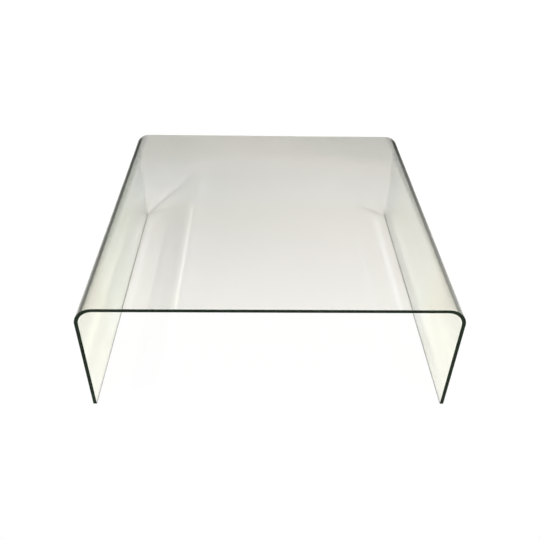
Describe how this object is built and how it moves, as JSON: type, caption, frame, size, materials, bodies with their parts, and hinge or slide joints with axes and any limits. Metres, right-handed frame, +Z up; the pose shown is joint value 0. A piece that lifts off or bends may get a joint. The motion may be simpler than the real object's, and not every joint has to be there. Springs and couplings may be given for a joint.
{
  "type": "waterfall coffee table",
  "caption": "Low square coffee table made from one bent sheet of clear glass, its top curving down at both sides into upright legs on small clear pads.",
  "frame": {"origin": "centre of the footprint, on the floor", "axes": "+Z up; the bends run along Y, with the open front towards -Y; +X to the right seen from the front"},
  "size_m": [1, 1, 0.36],
  "materials": {
    "clear_glass": "clear float glass with a faint green tint, dark green polished edges",
    "clear_pad": "clear polyurethane, softly glossy"
  },
  "bodies": {
    "root": {"bent_glass": "clear_glass", "floor_pad_front_left": "clear_pad", "floor_pad_front_right": "clear_pad", "floor_pad_back_left": "clear_pad", "floor_pad_back_right": "clear_pad"}
  },
  "joints": []
}
